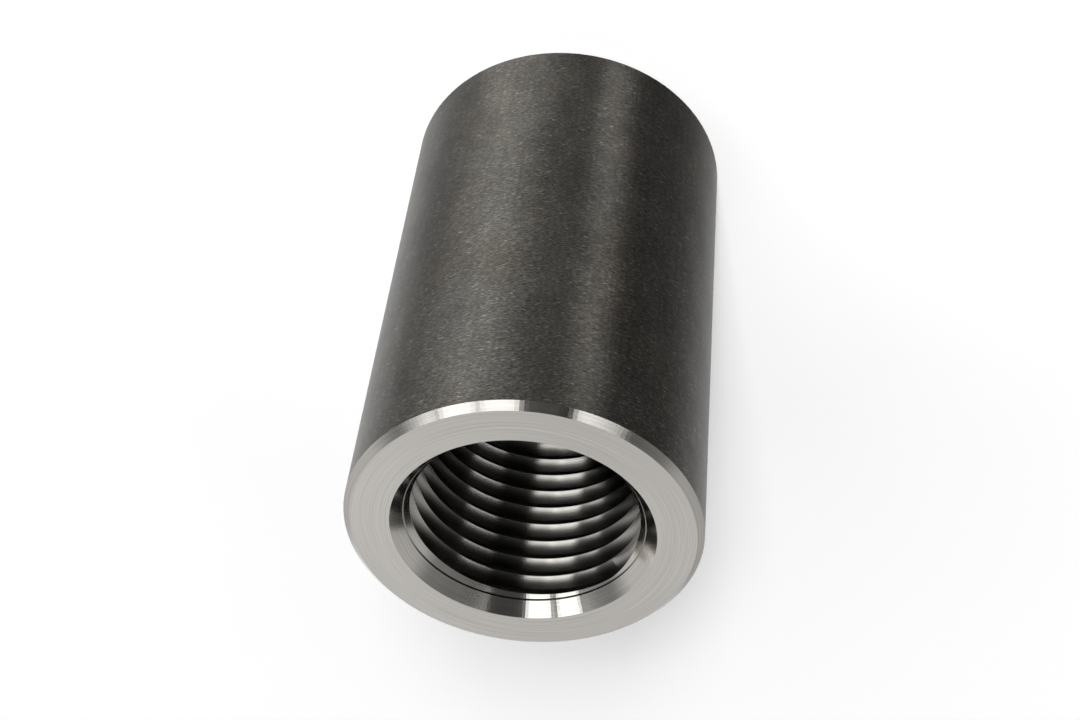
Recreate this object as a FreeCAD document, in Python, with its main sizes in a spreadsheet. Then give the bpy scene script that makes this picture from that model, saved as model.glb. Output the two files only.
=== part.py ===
import FreeCAD, Part
import os

import Sketcher

# Rebar coupler: a thick steel sleeve, turned from bar, bored through, and tapped for the threaded
# ends of two bars through a lead-in cone at each mouth. It stands on one end face.
# The origin is the centre of the lower end face, +Z runs up the bore, and sizes are millimetres.

NODE = "coupler_sleeve"

SIZES = (
    ("overall_length", 72.0),
    ("crest_diameter", 29.0),   # the bore, measured over the crests of the thread
    ("wall_thickness", 8.0),    # from the crests out to the turned skin
    ("rim_chamfer", 0.9),       # leg of the 45 degree chamfer round each outer edge
    ("lead_in_rise", 2.15),     # how far the lead-in cone opens, on the radius
    ("lead_in_angle", 37.5),    # slope of the lead-in cone, in degrees from the axis
    ("thread_pitch", 3.0),
    ("crest_flat", 0.893),      # width of the land that the tap leaves between two turns
    ("groove_depth", 1.0),      # depth of the groove below the crests
    ("tapped_length", 28.5),    # how far in from each end face the groove's middle runs
    ("thread_run_in", 1.8),     # how far above the upper end face it begins, on the +X side
    ("cutter_overlap", 0.3),    # how far the cutting section reaches inside the bore
)

doc = FreeCAD.newDocument("rebar_coupler")
sheet = doc.addObject("Spreadsheet::Sheet", "Sizes")
for row, (alias, value) in enumerate(SIZES, start=1):
    sheet.set(f"A{row}", alias)
    sheet.set(f"B{row}", str(value))
    sheet.setAlias(f"B{row}", alias)
doc.recompute()

body = doc.addObject("PartDesign::Body", "CouplerSleeve")
body.Label = NODE


def origin_plane(role):
    """One of the body's own origin planes, such as XZ_Plane."""
    return next(plane for plane in body.Origin.OriginFeatures if plane.Role == role)


def closed_sketch(name, corners):
    """Straight lines round the corners, each an (across, up) pair of expressions on the sheet.

    The sketch lies on the XZ plane, so across is a radius and up is a height.
    """
    sketch = body.newObject("Sketcher::SketchObject", name)
    sketch.AttachmentSupport = (origin_plane("XZ_Plane"), [""])
    sketch.MapMode = "FlatFace"
    places = [[float(sheet.evalExpression(text)) for text in corner] for corner in corners]
    points = [FreeCAD.Vector(across, up, 0) for across, up in places]
    count = len(points)
    for index in range(count):
        line = Part.LineSegment(points[index], points[(index + 1) % count])
        sketch.addGeometry(line, False)
    for index in range(count):
        sketch.addConstraint(Sketcher.Constraint("Coincident", index, 2, (index + 1) % count, 1))
    for index, corner in enumerate(corners):
        for kind, text, place in zip(("DistanceX", "DistanceY"), corner, places[index]):
            constraint = Sketcher.Constraint(kind, -1, 1, index, 1, place)
            name = f"corner{index}_{kind}"
            sketch.renameConstraint(sketch.addConstraint(constraint), name)
            sketch.setExpression(f"Constraints.{name}", text)
    return sketch


# The turned section. Radii and depths run from the bore out to the skin, and both ends are alike.
crest_radius = "Sizes.crest_diameter / 2"
skin_radius = f"{crest_radius} + Sizes.wall_thickness"
end_section = (
    (crest_radius, "Sizes.lead_in_rise / tan(Sizes.lead_in_angle)"),
    (f"{crest_radius} + Sizes.lead_in_rise", "0"),
    (f"{skin_radius} - Sizes.rim_chamfer", "0"),
    (skin_radius, "Sizes.rim_chamfer"),
)
far_end_section = tuple(
    (radius, f"Sizes.overall_length - ({depth})") for radius, depth in reversed(end_section)
)
section = closed_sketch("Section", end_section + far_end_section)

# Half the sleeve is turned and then mirrored, so that every round wall is two half-turn faces.
turning = body.newObject("PartDesign::Revolution", "Turning")
turning.Profile = section
turning.ReferenceAxis = (section, ["V_Axis"])
turning.Angle = 180
turning.Refine = False

sleeve = body.newObject("PartDesign::Mirrored", "Sleeve")
sleeve.Originals = [turning]
sleeve.MirrorPlane = (origin_plane("XZ_Plane"), [""])
sleeve.Refine = False
body.Tip = sleeve
doc.recompute()
blank_volume = body.Shape.Volume


def tapped_groove(name, start, length, downwards):
    """A right-hand vee groove wound round the bore from the height start, over a length of it."""
    half_opening = "(Sizes.thread_pitch - Sizes.crest_flat) / 2"
    reach = f"{half_opening} * (1 + Sizes.cutter_overlap / Sizes.groove_depth)"
    cutter = closed_sketch(f"{name}Section", (
        (f"{crest_radius} - Sizes.cutter_overlap", f"{start} - {reach}"),
        (f"{crest_radius} + Sizes.groove_depth", start),
        (f"{crest_radius} - Sizes.cutter_overlap", f"{start} + {reach}"),
    ))
    groove = body.newObject("PartDesign::SubtractiveHelix", name)
    groove.Profile = cutter
    groove.ReferenceAxis = (cutter, ["V_Axis"])
    groove.Mode = "pitch-height-angle"
    groove.setExpression("Pitch", "Sizes.thread_pitch")
    groove.setExpression("Height", length)
    groove.LeftHanded = False
    groove.Reversed = downwards
    groove.Refine = False
    body.Tip = groove
    doc.recompute()


# Both ends are tapped on one winding, and the middle of the bore stays as it was bored.
upper_start = "(Sizes.overall_length + Sizes.thread_run_in)"
lower_start = f"({upper_start} - Sizes.thread_pitch * ceil({upper_start} / Sizes.thread_pitch))"
tapped_groove("UpperThread", upper_start, "Sizes.tapped_length + Sizes.thread_run_in", True)
tapped_groove("LowerThread", lower_start, f"Sizes.tapped_length - {lower_start}", False)

for item in doc.Objects:
    if "Invalid" in item.State or "Error" in item.State:
        raise RuntimeError(f"{item.Label} did not recompute: {item.State}")
if body.Shape.isNull() or not body.Shape.isValid() or len(body.Shape.Solids) != 1:
    raise RuntimeError(f"{NODE} is not one valid solid")
if body.Shape.Volume >= blank_volume:
    raise RuntimeError("the threads cut nothing")

os.makedirs("parts", exist_ok=True)
body.Shape.exportStep(f"parts/{NODE}.step")
box = body.Shape.optimalBoundingBox()
print(f"{NODE}: {box.XLength:.3f} x {box.YLength:.3f} x {box.ZLength:.3f} mm, from z {box.ZMin:.3f}")
print(f"{NODE}: {body.Shape.Volume:.1f} cubic mm, {len(body.Shape.Faces)} faces")
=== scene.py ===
import math

import bpy
from mathutils import Euler, Matrix, Vector


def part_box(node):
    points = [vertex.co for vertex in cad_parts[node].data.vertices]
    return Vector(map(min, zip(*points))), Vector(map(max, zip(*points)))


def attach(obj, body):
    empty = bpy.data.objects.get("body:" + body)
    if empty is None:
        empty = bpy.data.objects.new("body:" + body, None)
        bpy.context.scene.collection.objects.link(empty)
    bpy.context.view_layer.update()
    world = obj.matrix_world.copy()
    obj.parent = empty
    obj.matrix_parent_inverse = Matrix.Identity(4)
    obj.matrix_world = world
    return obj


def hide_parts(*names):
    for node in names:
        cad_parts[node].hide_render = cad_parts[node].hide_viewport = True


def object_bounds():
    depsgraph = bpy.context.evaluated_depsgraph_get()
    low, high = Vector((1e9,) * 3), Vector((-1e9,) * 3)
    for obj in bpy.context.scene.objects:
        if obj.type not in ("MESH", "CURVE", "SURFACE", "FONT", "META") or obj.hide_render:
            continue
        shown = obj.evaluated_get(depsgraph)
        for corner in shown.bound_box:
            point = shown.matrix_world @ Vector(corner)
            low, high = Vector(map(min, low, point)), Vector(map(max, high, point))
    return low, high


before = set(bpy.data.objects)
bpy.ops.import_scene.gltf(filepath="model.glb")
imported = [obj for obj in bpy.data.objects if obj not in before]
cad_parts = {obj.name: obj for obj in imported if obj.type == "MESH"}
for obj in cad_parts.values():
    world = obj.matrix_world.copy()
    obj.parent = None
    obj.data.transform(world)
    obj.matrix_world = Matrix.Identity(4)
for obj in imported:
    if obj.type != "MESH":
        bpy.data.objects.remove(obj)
cad_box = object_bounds()

# Camera: a short telephoto, held upside down and looking down past the upper mouth, so that the
# mouth comes out low in the picture and the lower end of the sleeve high in it.
CAMERA_PLACE = Vector((0.0006, -0.1765, 0.2231))
CAMERA_DIP = 45.9           # degrees below the horizon
CAMERA_ROLL = -172.66       # degrees
CAMERA_LENS = 62.32         # mm
CAMERA_SENSOR = 36.0        # mm, its width
CAMERA_NEAR = 0.01          # nothing nearer than this is drawn

camera_data = bpy.data.cameras.new("camera")
camera_data.lens = CAMERA_LENS
camera_data.sensor_width = CAMERA_SENSOR
camera_data.clip_start = CAMERA_NEAR
camera = bpy.data.objects.new("camera", camera_data)
aim = Euler((math.radians(90.0 - CAMERA_DIP), 0.0, 0.0)).to_matrix()
aim = aim @ Matrix.Rotation(math.radians(CAMERA_ROLL), 3, "Z")
camera.matrix_world = Matrix.Translation(CAMERA_PLACE) @ aim.to_4x4()
bpy.context.scene.collection.objects.link(camera)
bpy.context.scene.camera = camera
bpy.context.scene.view_settings.view_transform = "Standard"

# Floor: a sheet of pale matt paper under the sleeve. To the eye alone it also gives off a little
# light, more farther out, so that it comes out white and still holds the sleeve's shadow.
FLOOR_SIZE = 6.0
FLOOR_COLOUR = (0.80, 0.80, 0.80, 1.0)
FLOOR_LIFT = (0.21, 0.33)   # what it gives off, near and far
FLOOR_REACH = (0.07, 0.19)  # how far from the axis that begins to rise and stops
FOOT_RADIUS = 0.0216        # under the sleeve the floor gives off nothing


def feed(tree, socket, given):
    """Give a socket a plain number, or the value of another socket."""
    if isinstance(given, bpy.types.NodeSocket):
        tree.links.new(given, socket)
    else:
        socket.default_value = given


def maths(tree, operation, *values):
    """The result of a Math node on the values."""
    node = tree.nodes.new("ShaderNodeMath")
    node.operation = operation
    for socket, value in zip(node.inputs, values):
        feed(tree, socket, value)
    return node.outputs[0]


def between(tree, value, low, high, to_low, to_high, easing="LINEAR"):
    """The value's place from low to high, carried over to the span from to_low to to_high."""
    node = tree.nodes.new("ShaderNodeMapRange")
    node.interpolation_type = easing
    for name, given in (("Value", value), ("From Min", low), ("From Max", high),
                        ("To Min", to_low), ("To Max", to_high)):
        feed(tree, node.inputs[name], given)
    return node.outputs["Result"]


def smooth_step(tree, *values):
    """The same with the change eased at both ends."""
    return between(tree, *values, easing="SMOOTHSTEP")


floor_mesh = bpy.data.meshes.new("floor")
half = FLOOR_SIZE / 2
floor_mesh.from_pydata([(-half, -half, 0), (half, -half, 0), (half, half, 0), (-half, half, 0)],
                       [], [(0, 1, 2, 3)])
floor = bpy.data.objects.new("floor", floor_mesh)
bpy.context.scene.collection.objects.link(floor)
floor.visible_glossy = False

paper = bpy.data.materials.new("pale_paper")
paper.use_nodes = True
tree = paper.node_tree
tree.nodes.clear()
matt = tree.nodes.new("ShaderNodeBsdfDiffuse")
matt.inputs["Color"].default_value = FLOOR_COLOUR
glow = tree.nodes.new("ShaderNodeEmission")
both = tree.nodes.new("ShaderNodeAddShader")
result = tree.nodes.new("ShaderNodeOutputMaterial")
rays = tree.nodes.new("ShaderNodeLightPath")
place = tree.nodes.new("ShaderNodeTexCoord")
distance = tree.nodes.new("ShaderNodeVectorMath")
distance.operation = "LENGTH"
tree.links.new(place.outputs["Object"], distance.inputs[0])
seen = maths(tree, "MAXIMUM", rays.outputs["Is Camera Ray"], rays.outputs["Is Transmission Ray"])
clear = maths(tree, "GREATER_THAN", distance.outputs["Value"], FOOT_RADIUS)
lift = smooth_step(tree, distance.outputs["Value"], *FLOOR_REACH, *FLOOR_LIFT)
tree.links.new(maths(tree, "MULTIPLY", maths(tree, "MULTIPLY", seen, clear), lift),
               glow.inputs["Strength"])
tree.links.new(matt.outputs[0], both.inputs[0])
tree.links.new(glow.outputs[0], both.inputs[1])
tree.links.new(both.outputs[0], result.inputs["Surface"])
floor_mesh.materials.append(paper)

# Room: a white sweep behind the sleeve and at its sides, and a dim room on the camera's side, both
# dark overhead. The steel looks past the floor at the lower half of the world, a table on which
# the lamps lie as soft bands.

# Spans are of x, y or height, as shares of a direction's length. +X comes out left in the picture.
SWEEP_LEFT = 0.96
SWEEP_RIGHT = 0.76
SWEEP_TURN = (-0.15, 0.15)  # x, from the right's level to the left's
SWEEP_EDGE = (-0.15, 0.22)  # y, from where it begins to where it is full
SWEEP_SKEW = 0.08           # how much farther back it begins on the left
SWEEP_LEAN = 0.42           # and high up
LEAN_RISE = (0.42, 0.64)
SWEEP_HIGH = 0.34           # how much brighter it is high up
HIGH_RISE = (0.35, 0.60)
SWEEP_LOW = 0.70            # what is left of it below the horizon
LOW_RISE = (-0.30, 0.0)
SWEEP_TOP = (0.84, 0.92)    # height, from all of it to none
ROOM_MIDDLE = 0.12
ROOM_SIDE = 0.34
ROOM_SPREAD = (0.42, 0.90)  # x to either side, from the middle's level to the side's
ROOM_TOP = (0.52, 0.72)     # height, from all of it to none
ZENITH_LEVEL = 0.012
TABLE_LEFT = 0.74
TABLE_RIGHT = 0.26
TABLE_TURN = (-0.5, 0.5)
TABLE_BACK = 0.94           # how much brighter the table is at the back
TABLE_DEPTH = (-0.05, 0.65)
TABLE_EDGE = (-0.75, -0.08)  # height, from the table to the sweep and the room
TABLE_BANDS = (             # bearing from the camera's side towards +X, half width, level
    (54.0, 42.0, 2.3),
    (-29.0, 18.0, 2.0),
    (6.0, 40.0, 0.35),
)
NEVER_ZERO = 0.001          # straight up and straight down have no bearing


def from_axis(tree, x, y):
    """How far x, y is from the axis."""
    return maths(tree, "SQRT", maths(tree, "ADD", maths(tree, "MULTIPLY", x, x),
                                     maths(tree, "MULTIPLY", y, y)))


world = bpy.data.worlds.new("studio")
bpy.context.scene.world = world
world.use_nodes = True
tree = world.node_tree
tree.nodes.clear()
air = tree.nodes.new("ShaderNodeBackground")
result = tree.nodes.new("ShaderNodeOutputWorld")
rays = tree.nodes.new("ShaderNodeLightPath")
place = tree.nodes.new("ShaderNodeTexCoord")
parts = tree.nodes.new("ShaderNodeSeparateXYZ")
tree.links.new(place.outputs["Generated"], parts.inputs[0])
x, y, z = parts.outputs
back = maths(tree, "SUBTRACT", y, maths(tree, "MULTIPLY", x, SWEEP_SKEW))
back = maths(tree, "SUBTRACT", back, smooth_step(tree, z, *LEAN_RISE, 0.0, SWEEP_LEAN))
room = smooth_step(tree, maths(tree, "ABSOLUTE", x), *ROOM_SPREAD, ROOM_MIDDLE, ROOM_SIDE)
sweep = smooth_step(tree, x, *SWEEP_TURN, SWEEP_RIGHT, SWEEP_LEFT)
sweep = maths(tree, "ADD", sweep, smooth_step(tree, z, *HIGH_RISE, 0.0, SWEEP_HIGH))
sweep = maths(tree, "MULTIPLY", sweep, smooth_step(tree, z, *LOW_RISE, SWEEP_LOW, 1.0))
room = smooth_step(tree, z, *ROOM_TOP, room, ZENITH_LEVEL)
sweep = smooth_step(tree, z, *SWEEP_TOP, sweep, ZENITH_LEVEL)
above = smooth_step(tree, back, *SWEEP_EDGE, room, sweep)
below = smooth_step(tree, x, *TABLE_TURN, TABLE_RIGHT, TABLE_LEFT)
below = maths(tree, "ADD", below, smooth_step(tree, y, *TABLE_DEPTH, 0.0, TABLE_BACK))
flat = maths(tree, "MAXIMUM", from_axis(tree, x, y), NEVER_ZERO)
for bearing, spread, level in TABLE_BANDS:
    bearing = math.radians(bearing)
    along = maths(tree, "SUBTRACT", maths(tree, "MULTIPLY", x, math.sin(bearing)),
                  maths(tree, "MULTIPLY", y, math.cos(bearing)))
    off = maths(tree, "ARCCOSINE", maths(tree, "DIVIDE", along, flat))
    band = smooth_step(tree, off, 0.0, math.radians(spread), level, 0.0)
    below = maths(tree, "ADD", below, band)
level = smooth_step(tree, z, *TABLE_EDGE, below, above)
level = maths(tree, "MAXIMUM", level, rays.outputs["Is Camera Ray"])
tree.links.new(level, air.inputs["Strength"])
tree.links.new(air.outputs[0], result.inputs["Surface"])

# Lamps: softboxes over the camera's shoulders, which the bright steel mirrors as sharp bands, and
# two small key lamps behind the camera that give the floor its shadow.
LAMP_DISTANCE = 0.8
KEY_SIZE = (0.12, 0.12)


def softbox(name, bearing, height, size, power, lean=0.0):
    """A rectangular lamp LAMP_DISTANCE from the upper mouth and aimed at it.

    bearing is in degrees from the camera's side, positive towards +X, height is its elevation, and
    lean turns it about its own middle.
    """
    lamp = bpy.data.lights.new(name, "AREA")
    lamp.shape = "RECTANGLE"
    lamp.size, lamp.size_y = size
    lamp.energy = power
    holder = bpy.data.objects.new(name, lamp)
    mouth = Vector((0, 0, cad_box[1][2]))
    flat = math.cos(math.radians(height))
    away = Vector((math.sin(math.radians(bearing)) * flat,
                   -math.cos(math.radians(bearing)) * flat,
                   math.sin(math.radians(height))))
    aim = away.to_track_quat("Z", "Y").to_matrix() @ Matrix.Rotation(math.radians(lean), 3, "Z")
    holder.matrix_world = Matrix.Translation(mouth + away * LAMP_DISTANCE) @ aim.to_4x4()
    bpy.context.scene.collection.objects.link(holder)
    return holder


softbox("left_outer", 75.0, 36.3, (0.255, 0.135), 0.21)
softbox("left_middle", 52.0, 45.0, (0.245, 0.47), 0.80, -8.0)
softbox("left_inner", 25.6, 45.0, (0.255, 0.47), 0.80, -12.0)
softbox("right_high", -41.0, 43.3, (0.36, 0.085), 0.28)
softbox("front_strip", -5.0, 46.0, (0.20, 0.05), 0.009)
for name, bearing, height, power in (("key_high", 9.0, 40.0, 3.4), ("key_low", 4.0, 33.0, 3.6)):
    softbox(name, bearing, height, KEY_SIZE, power).visible_glossy = False

# The sleeve: one piece of round steel bar, turned, faced and chamfered at both ends, bored through,
# given a lead-in cone with a line scored in it at each mouth, and cut with a right-hand thread.
sleeve_low, sleeve_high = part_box("coupler_sleeve")
LENGTH = sleeve_high.z - sleeve_low.z
SKIN_RADIUS = (sleeve_high.x - sleeve_low.x) / 2
CREST_RADIUS = 0.0145
RIM_CHAMFER = 0.0009
LEAD_IN_RISE = 0.00215
LEAD_IN_ANGLE = 37.5        # degrees from the axis
SCORE_RISE = 0.0007         # how far the scored line in the cone stands out from the crests
SCORE_DEPTH = 0.00010       # depth of the scored line, and half its width
PITCH = 0.003
ROOT_RADIUS = 0.016
GROOVE_UP = 0.00105         # from the groove's middle up to the corner of the crest above it
GROOVE_DOWN = 0.00190       # and down to the end of the shoulder below it
FLANK_SLOPE = 60.0          # degrees from the axis
SHOULDER_SLOPE = 45.0       # and where the rounded shoulder below it meets the crest
SHOULDER_RADIUS = 0.0040
SHOULDER_STEPS = 4
TOOTH_CLEARANCE = 0.0002    # how far the tap's tooth reaches inside the bore
THREAD_START = 0.0018       # height of a groove's middle at azimuth 0
FIRST_TURN = 0.252          # the thread runs between these turns, counted from azimuth 0
LAST_TURN = 22.5
RUN_IN = 0.10               # turns over which it deepens at each end
POINT_INSET = 0.0004        # how far inside the crests the tooth begins and ends in a point
TURN_STEPS = 240            # flats in one turn
SEAM = 1e-6                 # points nearer to each other than this are one
SHARP_ANGLE = math.radians(12.0)  # an edge that turns more than this stays sharp
SKIN, FACED, RIM, CONE, CREST, THREAD = range(6)  # the numbers of the finishes

# The section of the blank. Each point is a radius, a depth from its end face, and the finish of the
# surface that runs from it to the next point.
cone_slope = math.tan(math.radians(LEAD_IN_ANGLE))
lead_in_depth = LEAD_IN_RISE / cone_slope
score_radius = CREST_RADIUS + SCORE_RISE
score_place = lead_in_depth - SCORE_RISE / cone_slope
end_section = (
    (CREST_RADIUS, lead_in_depth, CONE),
    (score_radius - SCORE_DEPTH * cone_slope, score_place + SCORE_DEPTH, THREAD),
    (score_radius + SCORE_DEPTH, score_place, THREAD),
    (score_radius + SCORE_DEPTH * cone_slope, score_place - SCORE_DEPTH, CONE),
    (CREST_RADIUS + LEAD_IN_RISE, 0.0, FACED),
    (SKIN_RADIUS - RIM_CHAMFER, 0.0, RIM),
    (SKIN_RADIUS, RIM_CHAMFER, SKIN),
)
upper_finishes = (RIM, FACED, CONE, THREAD, THREAD, CONE, CREST)  # from the upper rim inwards
section = list(end_section)
for (radius, depth, _), finish in zip(reversed(end_section), upper_finishes):
    section.append((radius, LENGTH - depth, finish))

# The tooth of the tap, as radii and heights from the groove's middle: out over the rounded shoulder
# and the lower flank, up the flat root, and back in along the upper flank.
shoulder = math.radians(SHOULDER_SLOPE)
flank = math.radians(FLANK_SLOPE)
tooth = [(CREST_RADIUS - TOOTH_CLEARANCE, -GROOVE_DOWN - TOOTH_CLEARANCE / math.tan(shoulder))]
for step in range(SHOULDER_STEPS + 1):
    slope = shoulder + (flank - shoulder) * step / SHOULDER_STEPS
    radius = CREST_RADIUS + SHOULDER_RADIUS * (math.cos(shoulder) - math.cos(slope))
    height = -GROOVE_DOWN + SHOULDER_RADIUS * (math.sin(slope) - math.sin(shoulder))
    tooth.append((radius, height))
tooth += [
    (ROOT_RADIUS, height + (ROOT_RADIUS - radius) / math.tan(flank)),
    (ROOT_RADIUS, GROOVE_UP - (ROOT_RADIUS - CREST_RADIUS) / math.tan(flank)),
    (CREST_RADIUS - TOOTH_CLEARANCE, GROOVE_UP + TOOTH_CLEARANCE / math.tan(flank)),
]
outline = section + [(radius, height, THREAD) for radius, height in tooth]

# The section and the tooth go into the tree as one mesh of loose points.
outlines = bpy.data.meshes.new("outlines")
outlines.from_pydata([(radius, 0, height) for radius, height, _ in outline], [], [])
outlines.attributes.new("finish", "INT", "POINT")
outlines.attributes["finish"].data.foreach_set("value", [finish for _, _, finish in outline])


def finish_number(tree):
    """The number of the finish that each point or face is marked with."""
    node = tree.nodes.new("GeometryNodeInputNamedAttribute")
    node.data_type = "INT"
    node.inputs["Name"].default_value = "finish"
    return node.outputs["Attribute"]


def turned_surface(tree, source, first, count, steps, steps_per_turn, screw=None):
    """A grid bent round the axis: one row for each point of an outline, one column for each step.

    The outline is count points of the source, from first on. With screw, which is the lead, the
    height at azimuth 0, the first turn and the turns of run-in, it climbs as it turns and is drawn
    together to a point at its two ends.
    """
    grid = tree.nodes.new("GeometryNodeMeshGrid")
    tree.links.new(steps, grid.inputs["Size X"])
    tree.links.new(count, grid.inputs["Size Y"])
    tree.links.new(maths(tree, "ADD", steps, 1.0), grid.inputs["Vertices X"])
    tree.links.new(maths(tree, "ADD", count, 1.0), grid.inputs["Vertices Y"])
    where = tree.nodes.new("GeometryNodeInputPosition")
    flat = tree.nodes.new("ShaderNodeSeparateXYZ")
    tree.links.new(where.outputs[0], flat.inputs[0])
    step = maths(tree, "ADD", flat.outputs["X"], maths(tree, "MULTIPLY", steps, 0.5))
    row = maths(tree, "ADD", flat.outputs["Y"], maths(tree, "MULTIPLY", count, 0.5))

    def look_up(value, data_type, index):
        node = tree.nodes.new("GeometryNodeSampleIndex")
        node.data_type = data_type
        tree.links.new(source, node.inputs["Geometry"])
        tree.links.new(value, node.inputs["Value"])
        tree.links.new(maths(tree, "ADD", index, first), node.inputs["Index"])
        return node.outputs["Value"]

    finish = finish_number(tree)
    mark = tree.nodes.new("GeometryNodeStoreNamedAttribute")
    mark.data_type = "INT"
    mark.domain = "FACE"
    mark.inputs["Name"].default_value = "finish"
    tree.links.new(grid.outputs["Mesh"], mark.inputs["Geometry"])
    tree.links.new(look_up(finish, "INT", maths(tree, "FLOOR", row)), mark.inputs["Value"])

    whole_row = maths(tree, "FLOORED_MODULO", maths(tree, "ROUND", row), count)
    point = tree.nodes.new("ShaderNodeSeparateXYZ")
    tree.links.new(look_up(where.outputs[0], "FLOAT_VECTOR", whole_row), point.inputs[0])
    turns = maths(tree, "DIVIDE", maths(tree, "ROUND", step), steps_per_turn)
    radius, height = point.outputs["X"], point.outputs["Z"]
    if screw:
        lead, start, first_turn, run_in = screw
        from_end = maths(tree, "MINIMUM", step, maths(tree, "SUBTRACT", steps, step))
        run_in = maths(tree, "MULTIPLY", run_in, steps_per_turn)
        full = maths(tree, "DIVIDE", maths(tree, "ROUND", from_end), run_in)
        full = maths(tree, "MINIMUM", full, 1.0)
        drawn_in = maths(tree, "MULTIPLY", maths(tree, "SUBTRACT", 1.0, full),
                         CREST_RADIUS - POINT_INSET)
        radius = maths(tree, "MULTIPLY_ADD", radius, full, drawn_in)
        turns = maths(tree, "ADD", turns, first_turn)
        height = maths(tree, "MULTIPLY_ADD", turns, lead, maths(tree, "MULTIPLY", height, full))
        height = maths(tree, "ADD", height, start)
    angle = maths(tree, "MULTIPLY", turns, math.tau)
    place = tree.nodes.new("ShaderNodeCombineXYZ")
    for axis, operation in (("X", "COSINE"), ("Y", "SINE")):
        across = maths(tree, "MULTIPLY", radius, maths(tree, operation, angle))
        tree.links.new(across, place.inputs[axis])
    tree.links.new(height, place.inputs["Z"])
    bend = tree.nodes.new("GeometryNodeSetPosition")
    tree.links.new(mark.outputs["Geometry"], bend.inputs["Geometry"])
    tree.links.new(place.outputs[0], bend.inputs["Position"])
    join = tree.nodes.new("GeometryNodeMergeByDistance")
    join.inputs["Distance"].default_value = SEAM
    tree.links.new(bend.outputs["Geometry"], join.inputs["Geometry"])
    return join.outputs["Geometry"]


TREE_INPUTS = (
    ("Section Points", "NodeSocketInt", len(section)),
    ("Tooth Points", "NodeSocketInt", len(tooth)),
    ("Steps Per Turn", "NodeSocketInt", TURN_STEPS),
    ("Thread Turns", "NodeSocketFloat", LAST_TURN - FIRST_TURN),
    ("Pitch", "NodeSocketFloat", PITCH),
    ("Thread Start", "NodeSocketFloat", THREAD_START),
    ("First Turn", "NodeSocketFloat", FIRST_TURN),
    ("Run In", "NodeSocketFloat", RUN_IN),
)
SAME_FINISH = 0.1           # finish numbers nearer than this are the same


def sleeve_tree(finishes):
    """Turn the blank from its section, screw the tap's tooth through it, and cut the thread."""
    tree = bpy.data.node_groups.new("turn_and_tap", "GeometryNodeTree")
    tree.is_modifier = True
    tree.interface.new_socket("Geometry", in_out="INPUT", socket_type="NodeSocketGeometry")
    for name, kind, _ in TREE_INPUTS:
        tree.interface.new_socket(name, in_out="INPUT", socket_type=kind)
    tree.interface.new_socket("Geometry", in_out="OUTPUT", socket_type="NodeSocketGeometry")
    given = tree.nodes.new("NodeGroupInput").outputs
    turn = given["Steps Per Turn"]
    blank = turned_surface(tree, given["Geometry"], 0.0, given["Section Points"], turn, turn)
    steps = maths(tree, "ROUND", maths(tree, "MULTIPLY", given["Thread Turns"], turn))
    screw = (given["Pitch"], given["Thread Start"], given["First Turn"], given["Run In"])
    tap = turned_surface(tree, given["Geometry"], given["Section Points"], given["Tooth Points"],
                         steps, turn, screw)
    cut = tree.nodes.new("GeometryNodeMeshBoolean")
    cut.operation = "DIFFERENCE"
    cut.solver = "MANIFOLD"
    tree.links.new(blank, cut.inputs["Mesh 1"])
    tree.links.new(tap, cut.inputs["Mesh 2"])
    smooth = tree.nodes.new("GeometryNodeSetShadeSmooth")
    smooth.domain = "EDGE"
    corner = tree.nodes.new("GeometryNodeInputMeshEdgeAngle")
    tree.links.new(cut.outputs["Mesh"], smooth.inputs["Geometry"])
    tree.links.new(maths(tree, "GREATER_THAN", corner.outputs["Unsigned Angle"], SHARP_ANGLE),
                   smooth.inputs["Selection"])
    smooth.inputs["Shade Smooth"].default_value = False
    real = tree.nodes.new("GeometryNodeRealizeInstances")
    tree.links.new(smooth.outputs["Geometry"], real.inputs["Geometry"])
    body = real.outputs["Geometry"]
    finish = finish_number(tree)
    for number, material in enumerate(finishes):
        paint = tree.nodes.new("GeometryNodeSetMaterial")
        paint.inputs["Material"].default_value = material
        tree.links.new(body, paint.inputs["Geometry"])
        if number:
            same = maths(tree, "COMPARE", finish, float(number), SAME_FINISH)
            tree.links.new(same, paint.inputs["Selection"])
        body = paint.outputs["Geometry"]
    tree.links.new(body, tree.nodes.new("NodeGroupOutput").inputs["Geometry"])
    return tree


# The finishes. The skin is dark, turned and lightly oxidised. The ends, the chamfers, the cones and
# the thread are freshly cut and bright, with fine marks round the axis that draw out their gloss.
MILLIMETRE = 0.001
QUARTER_TURN = 0.25
NOISE_SPAN = (0.3, 0.7)     # most of a noise lies between these
SKIN_ROUGHNESS = (0.30, 0.42)
SKIN_ANISOTROPY = 0.85
SKIN_TINTS = ((0.0815, 0.0795, 0.0715), (0.0865, 0.0785, 0.0677))
TINT_SPAN = (0.38, 0.62)    # of the noise that mixes the two
TINT_SIZE = (9, 16)         # mm, round the axis and along it
CLOUD_SIZE = (5, 7)
CLOUD_LEVELS = (0.77, 1.23)
FLECK_SIZE = (0.50, 0.14)
FLECK_LEVELS = (0.36, 1.76)
SCRATCHES = (               # seed, lean, length in mm, noise that they begin above, brightness
    (3.0, 0.0, 0.9, 0.60, 2.2),
    (5.0, 0.6, 0.9, 0.63, 2.7),
    (9.0, -0.5, 1.1, 0.64, 3.2),
)
SCRATCH_WIDTH = 0.09        # mm
SCRATCH_EDGE = 0.10         # how much more noise makes a scratch full
MARK_LENGTH = 14            # mm, of the marks on the bright finishes
MARK_LEVELS = (0.88, 1.12)
# Painted shade in the thread's grooves: its colour darkens from the crests towards the roots.
ROOT_PAINTED_SHADE = (CREST_RADIUS, ROOT_RADIUS - 0.4 * MILLIMETRE, 0.32)
MIX_A, MIX_B, MIX_RESULT = 6, 7, 2  # the places of a Mix node's colours among its sockets
ACROSS_Z, ACROSS_OUT = 2, 3


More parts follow.
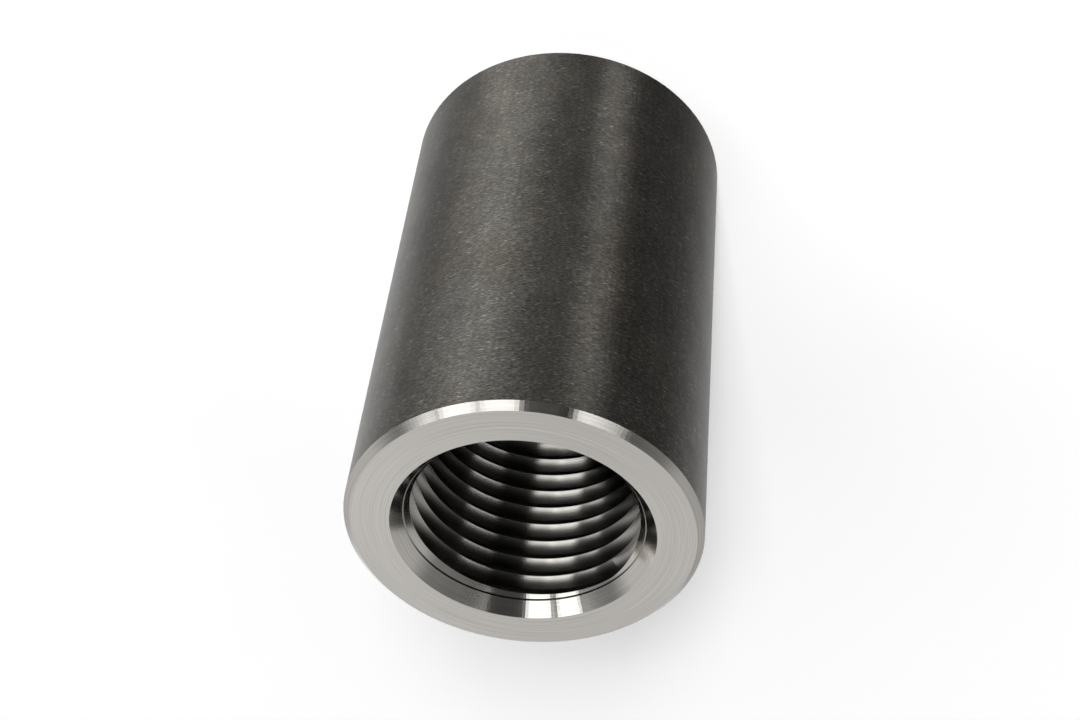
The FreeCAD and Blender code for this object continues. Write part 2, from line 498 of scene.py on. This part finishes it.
def steel(name, roughness, anisotropy):
    """Bare metal whose gloss is drawn out across the marks that turning left round the axis.

    Returns the material, its tree, its shader, and x, y, z and the distance from the axis.
    """
    material = bpy.data.materials.new(name)
    material.use_nodes = True
    tree = material.node_tree
    shader = tree.nodes["Principled BSDF"]
    shader.inputs["Metallic"].default_value = 1.0
    shader.inputs["Roughness"].default_value = roughness
    shader.inputs["Anisotropic"].default_value = anisotropy
    shader.inputs["Anisotropic Rotation"].default_value = QUARTER_TURN
    place = tree.nodes.new("ShaderNodeTexCoord").outputs["Object"]
    round_axis = tree.nodes.new("ShaderNodeVectorMath")
    round_axis.operation = "CROSS_PRODUCT"
    round_axis.inputs[0].default_value = (0.0, 0.0, 1.0)
    tree.links.new(place, round_axis.inputs[1])
    to_world = tree.nodes.new("ShaderNodeVectorTransform")
    to_world.vector_type = "VECTOR"
    to_world.convert_from = "OBJECT"
    to_world.convert_to = "WORLD"
    tree.links.new(round_axis.outputs[0], to_world.inputs[0])
    tree.links.new(to_world.outputs[0], shader.inputs["Tangent"])
    parts = tree.nodes.new("ShaderNodeSeparateXYZ")
    tree.links.new(place, parts.inputs[0])
    x, y, z = parts.outputs
    return material, tree, shader, (x, y, z, from_axis(tree, x, y))


def grain(tree, x, y, across, length, width, detail, seed=0.0):
    """Noise from 0 to 1 whose patches are length long round the axis and width wide across it.

    Both are in millimetres.
    """
    stretched = tree.nodes.new("ShaderNodeCombineXYZ")
    for axis, value, size in (("X", x, length), ("Y", y, length), ("Z", across, width)):
        tree.links.new(maths(tree, "DIVIDE", value, size * MILLIMETRE), stretched.inputs[axis])
    noise = tree.nodes.new("ShaderNodeTexNoise")
    noise.noise_dimensions = "4D"
    noise.inputs["W"].default_value = seed
    noise.inputs["Scale"].default_value = 1.0
    noise.inputs["Detail"].default_value = detail
    tree.links.new(stretched.outputs[0], noise.inputs["Vector"])
    return noise.outputs["Fac"]


def tint(tree, level, colour):
    """A colour scaled by a level."""
    node = tree.nodes.new("ShaderNodeVectorMath")
    node.operation = "SCALE"
    node.inputs[0].default_value = colour
    tree.links.new(level, node.inputs["Scale"])
    return node.outputs[0]


def skin_finish():
    """The turned skin: clouded, in two close tints, with a fine grain and short scratches."""
    material, tree, shader, (x, y, z, _) = steel("dark_turned_skin", sum(SKIN_ROUGHNESS) / 2,
                                                 SKIN_ANISOTROPY)
    cloud = grain(tree, x, y, z, *CLOUD_SIZE, detail=6.0)
    fleck = grain(tree, x, y, z, *FLECK_SIZE, detail=3.0, seed=7.0)
    level = maths(tree, "MULTIPLY", between(tree, cloud, *NOISE_SPAN, *CLOUD_LEVELS),
                  between(tree, fleck, *NOISE_SPAN, *FLECK_LEVELS))
    for seed, lean, length, start, brightness in SCRATCHES:
        across = maths(tree, "MULTIPLY_ADD", x, lean, z)
        scratch = grain(tree, x, y, across, length, SCRATCH_WIDTH, detail=1.0, seed=seed)
        gain = between(tree, scratch, start, start + SCRATCH_EDGE, 1.0, brightness)
        level = maths(tree, "MULTIPLY", level, gain)
    patch = grain(tree, x, y, z, *TINT_SIZE, detail=3.0, seed=21.0)
    colour = tree.nodes.new("ShaderNodeMix")
    colour.data_type = "RGBA"
    tree.links.new(between(tree, patch, *TINT_SPAN, 0.0, 1.0), colour.inputs["Factor"])
    for place, tone in zip((MIX_A, MIX_B), SKIN_TINTS):
        tree.links.new(tint(tree, level, tone), colour.inputs[place])
    tree.links.new(colour.outputs[MIX_RESULT], shader.inputs["Base Color"])
    tree.links.new(between(tree, fleck, *NOISE_SPAN, *SKIN_ROUGHNESS), shader.inputs["Roughness"])
    return material


def bright_finish(name, tone, roughness, anisotropy, across, width, painted_shade=None):
    """Freshly cut steel. across says which way its marks, width mm wide, lie beside each other.

    Its last argument, two radii and a share, paints shade darkening it to that share between them.
    """
    material, tree, shader, places = steel(name, roughness, anisotropy)
    x, y = places[:2]
    marks = grain(tree, x, y, places[across], MARK_LENGTH, width, detail=3.0)
    level = between(tree, marks, *NOISE_SPAN, *MARK_LEVELS)
    # Painted shade: the colour darkens from the first radius out to the second, deeper in the
    # grooves.
    if painted_shade:
        begin, end, share = painted_shade
        shade = between(tree, places[ACROSS_OUT], begin, end, 1.0, share)
        level = maths(tree, "MULTIPLY", level, shade)
    tree.links.new(tint(tree, level, tone), shader.inputs["Base Color"])
    return material


finishes = [                # in the order of their numbers
    skin_finish(),
    bright_finish("faced_end", (0.51, 0.493, 0.465), 0.27, 0.4, ACROSS_OUT, 0.09),
    bright_finish("rim_chamfer", (0.515, 0.495, 0.465), 0.18, 0.6, ACROSS_Z, 0.08),
    bright_finish("lead_in_cone", (0.56, 0.54, 0.506), 0.14, 0.6, ACROSS_Z, 0.08),
    bright_finish("bored_crest", (0.43, 0.41, 0.38), 0.50, 1.0, ACROSS_Z, 0.08),
    bright_finish("cut_thread", (0.455, 0.438, 0.408), 0.21, 0.92, ACROSS_OUT, 0.10, ROOT_PAINTED_SHADE),
]
blank = bpy.data.objects.new("coupler_sleeve_blank", outlines)
bpy.context.scene.collection.objects.link(blank)
tree = sleeve_tree(finishes)
machining = blank.modifiers.new("turn and tap", "NODES")
machining.node_group = tree
inputs = {item.name: item.identifier for item in tree.interface.items_tree
          if item.in_out == "INPUT"}
for name, _, value in TREE_INPUTS:
    machining[inputs[name]] = value
made = blank.evaluated_get(bpy.context.evaluated_depsgraph_get())
sleeve_mesh = bpy.data.meshes.new_from_object(made)
sleeve_mesh.name = "threaded_sleeve"
# Only the slots that hold a finish are kept.
for number in reversed(range(len(sleeve_mesh.materials))):
    if sleeve_mesh.materials[number] is None:
        sleeve_mesh.materials.pop(index=number)
sleeve = bpy.data.objects.new("threaded_sleeve", sleeve_mesh)
bpy.context.scene.collection.objects.link(sleeve)
bpy.data.objects.remove(blank)
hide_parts("coupler_sleeve")
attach(sleeve, "root")
